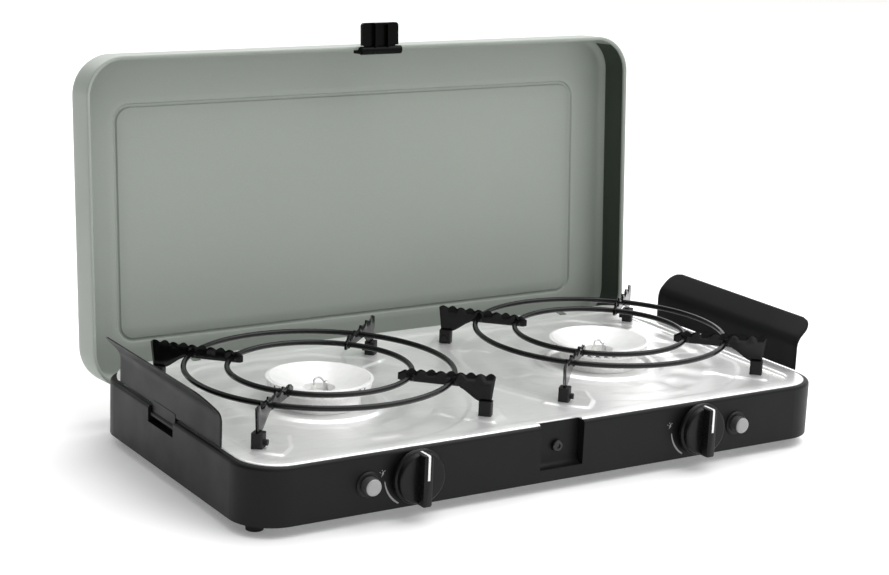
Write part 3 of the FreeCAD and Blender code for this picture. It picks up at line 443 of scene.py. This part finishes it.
def make_button(side, sign):
    """Domed push button with a darker rim, in front of its bezel."""
    low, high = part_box("igniter_button_" + side)
    front = (low.y - ORIGIN.y) * 1000
    back = (high.y - ORIGIN.y) * 1000
    middle_x = (low.x + high.x) * 500
    middle_z = ((low.z + high.z) / 2 - ORIGIN.z) * 1000
    long = back - front
    mesh = bmesh.new()
    made = revolve(mesh, [(6.4, 0.0), (6.9, 0.4), (6.9, long - 3.0), (6.5, long - 1.2),
                          (6.2, long - 0.7), (5.6, long - 0.25), (4.2, long - 0.05),
                          (2.0, long), (0.3, long)], (middle_x, back, middle_z), axis="y",
                   steps=64)
    mesh.faces.new(made[-1])
    for face in mesh.faces:
        if face.calc_center_median().y > front + 1.0:
            face.material_index = 1
    piece = finish_piece("button_cap_" + side, mesh, "grey_plastic", "igniter_button_" + side,
                         ("igniter_button_" + side,), crease=40)
    piece.data.materials.append(MATERIALS["button_side"])


# ---- lid ---------------------------------------------------------------------------------------

def lid_turn():
    pivot = Matrix.Translation(Vector((0, HINGE_Y, HINGE_Z)))
    return pivot @ Matrix.Rotation(math.radians(-LID_OPEN), 4, "X") @ pivot.inverted()


def make_lid():
    """Pressed lid: rolled rim, round-edged walls and a panel with a groove all round; the inside
    faces of its side walls carry a dark painted shade.
    """
    mesh = bmesh.new()
    low, high, edge, sheet = 51.1, 89.1, 8.0, 1.0
    outer = [(0.5, low + 0.35), (0.12, low + 1.0)]
    outer += [(0.0, low + 2.6), (0.0, high - edge - 6)]
    outer += [(edge - edge * math.cos(math.radians(a)), high - edge + edge * math.sin(
        math.radians(a))) for a in range(0, 91, 10)]
    inner_edge = edge - sheet
    inner = [(sheet + inner_edge - inner_edge * math.cos(math.radians(a)),
              high - edge + inner_edge * math.sin(math.radians(a))) for a in range(90, -1, -10)]
    inner += [(sheet, high - edge - 6), (1.2, low + 5.2), (2.7, low + 4.6), (3.3, low + 3.0),
              (3.1, low + 1.4), (2.2, low + 0.4), (1.3, low + 0.1), (0.5, low + 0.35)]

    def loop(inset, z):
        return [(x, y, z) for x, y in rounded_loop(
            -CASE_X + inset, CASE_X - inset, -CASE_Y + inset, CASE_Y - inset,
            max(CASE_CORNER - inset, 0.5), 14)]

    def groove(offset, z):
        return [(x, y, z) for x, y in rounded_loop(
            -235.5 - offset, 235.5 + offset, -95 - offset, 107 + offset,
            max(14 + offset, 2.0), 14)]

    bottom = high - sheet
    rows = [groove(-60, bottom), groove(-12, bottom)]
    rows += [groove(offset, bottom + drop) for offset, drop in (
        (-2.3, 0.0), (-1.9, 0.15), (-0.9, 1.5), (-0.4, 1.7), (0.4, 1.7), (0.9, 1.5),
        (1.9, 0.15), (2.3, 0.0), (8.0, 0.0))]
    rows += [loop(inset, z) for inset, z in inner]
    rows += [loop(inset, z) for inset, z in outer[1:]]
    rows += [groove(offset, high + drop) for offset, drop in (
        (8.0, 0.0), (3.2, 0.0), (2.4, 0.3), (1.0, 1.4), (-1.0, 1.4), (-2.4, 0.3),
        (-3.2, 0.0), (-12, 0.0), (-60, 0.0))]
    made = bridge(mesh, rows)
    mesh.faces.new(made[0])
    mesh.faces.new(made[-1])
    # Inside faces of the side walls take the second, dark material: painted shade for the shadow
    # on those walls
    wall_rows, painted_shade_x = (18, 24), 262
    first, last = (len(rows[0]) * row for row in wall_rows)
    for face in list(mesh.faces)[first:last]:
        if abs(face.calc_center_median().x) > painted_shade_x:
            face.material_index = 1
    piece = finish_piece("lid_pressing", mesh, "lid_paint", "lid",
                         ("lid_shell",), turn=lid_turn(), crease=30)
    piece.data.materials.append(MATERIALS["lid_inner"])


# ---- wind guards -------------------------------------------------------------------------------

GUARD_X, GUARD_LOW, GUARD_PIN_Z = 271.3, 52.8, 44.5

def guard_profile():
    """Points (outward, up) of the sheet's middle: upright wall, soft bend, slanting lip."""
    fold, reach, bend = 78.3, 17.0, 6.0
    radius = bend * 2.41
    points = [(0.0, GUARD_LOW + (fold - bend - GUARD_LOW) * k / 6) for k in range(7)]
    for k in range(1, 9):
        angle = math.radians(45 * k / 8)
        points.append((radius * (1 - math.cos(angle)), fold - bend + radius * math.sin(angle)))
    end_x, end_z = points[-1]
    left = (reach - end_x) * math.sqrt(2)
    points += [(end_x + left * k / 10 / math.sqrt(2), end_z + left * k / 10 / math.sqrt(2))
               for k in range(1, 11)]
    return points


def make_guard(side, sign):
    """Bent sheet wing with rounded upper corners, and the tongue that holds it on its pin."""
    mesh = bmesh.new()
    profile = guard_profile()
    front, back = (-105.0, 88.0) if sign > 0 else (-84.5, 100.0)
    lengths = [0.0]
    for first, second in zip(profile, profile[1:]):
        lengths.append(lengths[-1] + math.dist(first, second))
    total, corner, columns = lengths[-1], 13.0, 60
    rows = []
    for (out, up), length in zip(profile, lengths):
        into = max(corner - (total - length), 0.0)
        trim = corner - math.sqrt(max(corner ** 2 - into ** 2, 0.0))
        row = []
        for k in range(columns + 1):
            y = front + trim + (back - front - 2 * trim) * k / columns
            row.append((sign * (GUARD_X + out), y, up))
        rows.append(row)
    bridge(mesh, rows, closed=False)
    guard_node = "wind_guard_" + side
    body = "guard_" + side
    piece = finish_piece("wind_wing_" + side, mesh, "black_coat", body,
                         (guard_node,), crease=60)
    thick = piece.modifiers.new("sheet", "SOLIDIFY")
    thick.thickness = 0.0012
    thick.offset = 0.0
    soft = piece.modifiers.new("edges", "BEVEL")
    soft.width = 0.0003
    soft.segments = 2
    soft.limit_method = "ANGLE"
    soft.angle_limit = math.radians(60)
    start, end = (-38.0, 8.0) if sign > 0 else (-8.0, 38.0)
    tongue = bmesh.new()
    outline = rounded_loop(start + 2, end - 2, GUARD_PIN_Z, 56.0, 1.0, 4, 4)
    made = bridge(tongue, [[(sign * (GUARD_X + across), y, z) for y, z in outline]
                           for across in (-0.9, 0.9)])
    tongue.faces.new(made[0])
    tongue.faces.new(made[1])
    revolve(tongue, [(1.3, 0), (2.2, 0), (2.4, 0.3), (2.4, end - start - 4.3),
                     (2.2, end - start - 4), (1.3, end - start - 4), (1.3, 0)],
            (sign * GUARD_X, end - 2, GUARD_PIN_Z), axis="y", steps=32)
    finish_piece("wind_tongue_" + side, tongue, "black_coat", body,
                 (guard_node,), crease=30)


# ---- pan supports ------------------------------------------------------------------------------

ARM_START, CREST_START, CREST_PITCH = 65, 72, 8.05
ARM_ANGLES, RING_RADII, RING_Z = (42.0, 135.0, 222.0, 315.0), (74.5, 109.2), 73.6


def arm_top(x):
    """Height of an arm's upper edge, with its row of crests, at a distance from the burner."""
    rise = 78 + 2.6 * smooth_step(ARM_START, 71, x) + 2.6 * (x - ARM_START) / 79.5
    if x > CREST_START:
        rise += 2.1 * math.sin(math.pi * ((x - CREST_START) / CREST_PITCH % 1.0)) - 0.9
    return rise


def arm_bottom(x):
    """Height of its lower edge, which steps down to the foot."""
    if x < 115.7:
        return 71.8 + 0.8 * smooth_step(68, 65, x)
    if x < 133.7:
        return 71.6 - 10.6 * smooth_step(113, 134.5, x)
    return 61.0


def make_arms(side, sign):
    """Four stamped arms whose rippled crest waves from side to side, spot-welded to the wires."""
    mesh = bmesh.new()
    centre = Vector((sign * BURNER_X, BURNER_Y, 0))
    columns, rows = 132, 8
    for degrees in ARM_ANGLES:
        turn = Matrix.Translation(centre) @ Matrix.Rotation(math.radians(degrees), 4, "Z")
        for face in (-1, 1):
            grid = []
            for j in range(rows + 1):
                line = []
                for i in range(columns + 1):
                    share = i / columns
                    x = ARM_START + (76.75 + 2.75 * j / rows) * share
                    low, high = arm_bottom(x), arm_top(x)
                    z = low + (high - low) * j / rows
                    wave = 1.1 * math.sin(math.pi * (x - CREST_START) / CREST_PITCH) \
                        * smooth_step(high - 5, high, z) * smooth_step(70, 74, x)
                    rim = min(i, columns - i, 2 * j, 2 * (rows - j)) / 2
                    thick = 1.25 if rim >= 1 else 0.6
                    line.append(turn @ Vector((x, wave + face * thick, z)))
                grid.append(line)
            bridge(mesh, grid, closed=False)
        for ring in RING_RADII:
            for inward in (-1, 1):
                bead = Matrix.Translation((ring + 2.7 * inward, 0, RING_Z))
                bmesh.ops.create_uvsphere(mesh, u_segments=16, v_segments=8, radius=2.0,
                                          matrix=turn @ bead @ Matrix.Diagonal((1, 1.2, .8, 1)))
    bmesh.ops.remove_doubles(mesh, verts=mesh.verts, dist=0.001)
    finish_piece("support_arms_" + side, mesh, "black_enamel", "trivet_" + side,
                 ("trivet_arms_" + side,), crease=50)


# ---- knobs and printed marks -----------------------------------------------------------------

def make_knob(side, sign):
    """Round skirt and face with a thumb bar across it, and the white pointer line."""
    body = "knob_" + side
    back, line_half = KNOB_BACK, 0.95
    centre = (sign * TAP_X, back, TAP_Z)
    mesh = bmesh.new()
    made = revolve(mesh, [(3.2, 0.0), (20.9, 0.0), (21.6, 0.5), (21.8, 1.2), (21.8, 2.6),
                          (21.4, 3.4), (20.7, 3.8), (20.2, 4.2), (19.9, 7.2), (19.6, 8.0),
                          (18.9, 8.5), (18.0, 8.6), (8.0, 8.2), (0.4, 8.1)], centre, axis="y")
    mesh.faces.new(made[-1])
    bar = []
    for along, shrink in ((3.4, 0.0), (14.6, 0.0), (15.6, 0.25), (16.2, 1.1)):
        loop = rounded_loop(-4 + shrink, 4 - shrink, -20.3 + shrink, 20.3 - shrink, 1.6, 5, 4)
        bar.append([(centre[0] + x, back - along, TAP_Z + z) for x, z in loop])
    made = bridge(mesh, bar)
    mesh.faces.new(made[-1])
    finish_piece("knob_grip_" + side, mesh, "black_plastic", body,
                 (body,), crease=38)
    line = bmesh.new()
    path = [(back - 3.9, 20.6), (back - 15.2, 20.6), (back - 16.0, 20.2), (back - 16.45, 19.2),
            (back - 16.45, 1.0)]
    inner = [(back - 3.9, 19.6), (back - 14.9, 19.6), (back - 15.4, 19.3), (back - 15.7, 18.6),
             (back - 15.7, 1.0)]
    for x_side in (-1, 1):
        bridge(line, [[(centre[0] + x_side * line_half, y, TAP_Z + z) for y, z in row]
                      for row in (path, inner)], closed=False)
    bridge(line, [[(centre[0] + x, y, TAP_Z + z) for y, z in path]
                  for x in (-line_half, line_half)], closed=False)
    bmesh.ops.remove_doubles(line, verts=line.verts, dist=0.001)
    finish_piece("knob_pointer_" + side, line, "white_print", body, crease=40)


def make_marks(side, sign):
    """Printed spark sign and a tapering arc beside each knob."""
    mesh = bmesh.new()
    centre_x = sign * TAP_X

    def patch(points):
        mesh.faces.new([mesh.verts.new((x, PRINT_PLANE, z)) for x, z in points])

    steps = 20
    outer, inner = [], []
    for k in range(steps + 1):
        angle = math.radians(184 + 52 * k / steps)
        wide = 0.15 + 1.3 * math.sin(math.pi * min(k / steps * 0.62 + 0.12, 1.0))
        reach = 26.6 - 1.6 * k / steps
        outer.append((centre_x + (reach + wide / 2) * math.cos(angle),
                      TAP_Z + (reach + wide / 2) * math.sin(angle)))
        inner.append((centre_x + (reach - wide / 2) * math.cos(angle),
                      TAP_Z + (reach - wide / 2) * math.sin(angle)))
    for k in range(steps):
        patch((outer[k], outer[k + 1], inner[k + 1], inner[k]))
    x, z = centre_x - 28.6, TAP_Z + 4.6
    patch(((x + 1.3, z + 2.6), (x - 1.2, z + 0.1), (x + 0.1, z + 0.1), (x + 0.5, z + 0.5)))
    patch(((x + 1.2, z + 0.3), (x - 0.1, z + 0.3), (x - 1.3, z - 2.6), (x + 0.3, z - 0.8)))
    for k in range(3):
        angle = math.radians(150 - 50 * k)
        cos, sin = math.cos(angle), math.sin(angle)
        near, far, half = 2.2, 3.3, 0.22
        patch(((x + near * cos - half * sin, z + near * sin + half * cos),
               (x + far * cos - half * sin, z + far * sin + half * cos),
               (x + far * cos + half * sin, z + far * sin - half * cos),
               (x + near * cos + half * sin, z + near * sin - half * cos)))
    finish_piece("print_marks_" + side, mesh, "grey_print", "base")


# ---- floor, light and camera -------------------------------------------------------------------

def make_floor():
    """White paper floor that glows a little, so the background stays white."""
    mesh = bmesh.new()
    bmesh.ops.create_grid(mesh, x_segments=4, y_segments=4, size=20.0)
    data = bpy.data.meshes.new("floor")
    mesh.to_mesh(data)
    mesh.free()
    floor = bpy.data.objects.new("floor", data)
    bpy.context.scene.collection.objects.link(floor)
    paper = make_finish("floor_paper", (0.92, 0.92, 0.92), 0.9, tint=0.005, patch=1.0,
                        grain=60, grain_tint=0.01, bump=0.02, specular=0.1)
    glow = paper.node_tree.nodes["Principled BSDF"]
    glow.inputs["Emission Color"].default_value = (1.0, 1.0, 1.0, 1.0)
    glow.inputs["Emission Strength"].default_value = 0.16
    data.materials.append(paper)


def add_area(name, place, target, wide, tall, power):
    """A rectangular area light, in metres and watts, aimed at a target."""
    light = bpy.data.lights.new(name, "AREA")
    light.shape = "RECTANGLE"
    light.size, light.size_y = wide, tall
    light.energy = power
    lamp = bpy.data.objects.new(name, light)
    lamp.location = place
    lamp.rotation_euler = (Vector(target) - Vector(place)).to_track_quat("-Z", "Y").to_euler()
    bpy.context.scene.collection.objects.link(lamp)


def make_light():
    """White surroundings that darken to the left, a key light above and one behind."""
    world = bpy.data.worlds.new("studio")
    bpy.context.scene.world = world
    world.use_nodes = True
    sky = world.node_tree.nodes["Background"]
    sky.inputs["Color"].default_value = (1.0, 1.0, 1.0, 1.0)
    tree = world.node_tree
    coords = tree.nodes.new("ShaderNodeTexCoord")
    apart = tree.nodes.new("ShaderNodeSeparateXYZ")
    ramp = tree.nodes.new("ShaderNodeMapRange")
    ramp.inputs["From Min"].default_value = -0.95
    ramp.inputs["From Max"].default_value = 0.1
    ramp.inputs["To Min"].default_value = 0.16
    ramp.inputs["To Max"].default_value = 1.0
    tree.links.new(coords.outputs["Generated"], apart.inputs["Vector"])
    tree.links.new(apart.outputs["X"], ramp.inputs["Value"])
    tree.links.new(ramp.outputs["Result"], sky.inputs["Strength"])
    add_area("key", (0.8, -0.3, 2.4), (0, 0, 0.1), 3.2, 2.6, 52)
    add_area("back", (0.6, 2.6, 1.9), (0, 0, 0.1), 3.0, 1.6, 24)


CAMERA_ANGLES = (-31.8593, 13.5897, 2.2404)
CAMERA_AIM, CAMERA_AWAY = (-141.79, -129.14, 186.45), 1.49793
CAMERA_LENS, CAMERA_SHIFT = 82.18, (0.03988, -0.01996)


def make_camera():
    """Camera at the azimuth, rise and roll fitted to the photograph's outline."""
    azimuth, rise, roll = (math.radians(angle) for angle in CAMERA_ANGLES)
    back = Vector((math.sin(azimuth) * math.cos(rise), -math.cos(azimuth) * math.cos(rise),
                   math.sin(rise)))
    right = Vector((math.cos(azimuth), math.sin(azimuth), 0))
    up = back.cross(right)
    right, up = (right * math.cos(roll) + up * math.sin(roll),
                 up * math.cos(roll) - right * math.sin(roll))
    place = at(*CAMERA_AIM) + back * CAMERA_AWAY
    data = bpy.data.cameras.new("camera")
    data.sensor_width = 36.0
    data.lens = CAMERA_LENS
    data.shift_x, data.shift_y = CAMERA_SHIFT
    data.clip_start, data.clip_end = 0.05, 30
    camera = bpy.data.objects.new("camera", data)
    basis = Matrix((right, up, back)).transposed().to_4x4()
    camera.matrix_world = Matrix.Translation(place) @ basis
    bpy.context.scene.collection.objects.link(camera)
    bpy.context.scene.camera = camera


def dress_nodes():
    """Gives every carried-over CAD node the worked-up finish of its material slot."""
    for node in NODES.values():
        for slot in node.material_slots:
            name = slot.material.name.split(".")[0] if slot.material else "black_coat"
            slot.material = MATERIALS.get(name, slot.material)
    for name in ("latch_flap", "latch_bracket", "latch_pin"):
        NODES[name].material_slots[0].material = MATERIALS["latch_black"]


make_camera()
make_floor()
make_light()
dress_nodes()
make_hob()
make_lid()
for side_name, side_sign in SIDES.items():
    make_guard(side_name, side_sign)
    make_arms(side_name, side_sign)
    make_knob(side_name, side_sign)
    make_marks(side_name, side_sign)
    make_port_ring(side_name, side_sign)
    make_button(side_name, side_sign)

bpy.context.scene.view_settings.view_transform = "Standard"
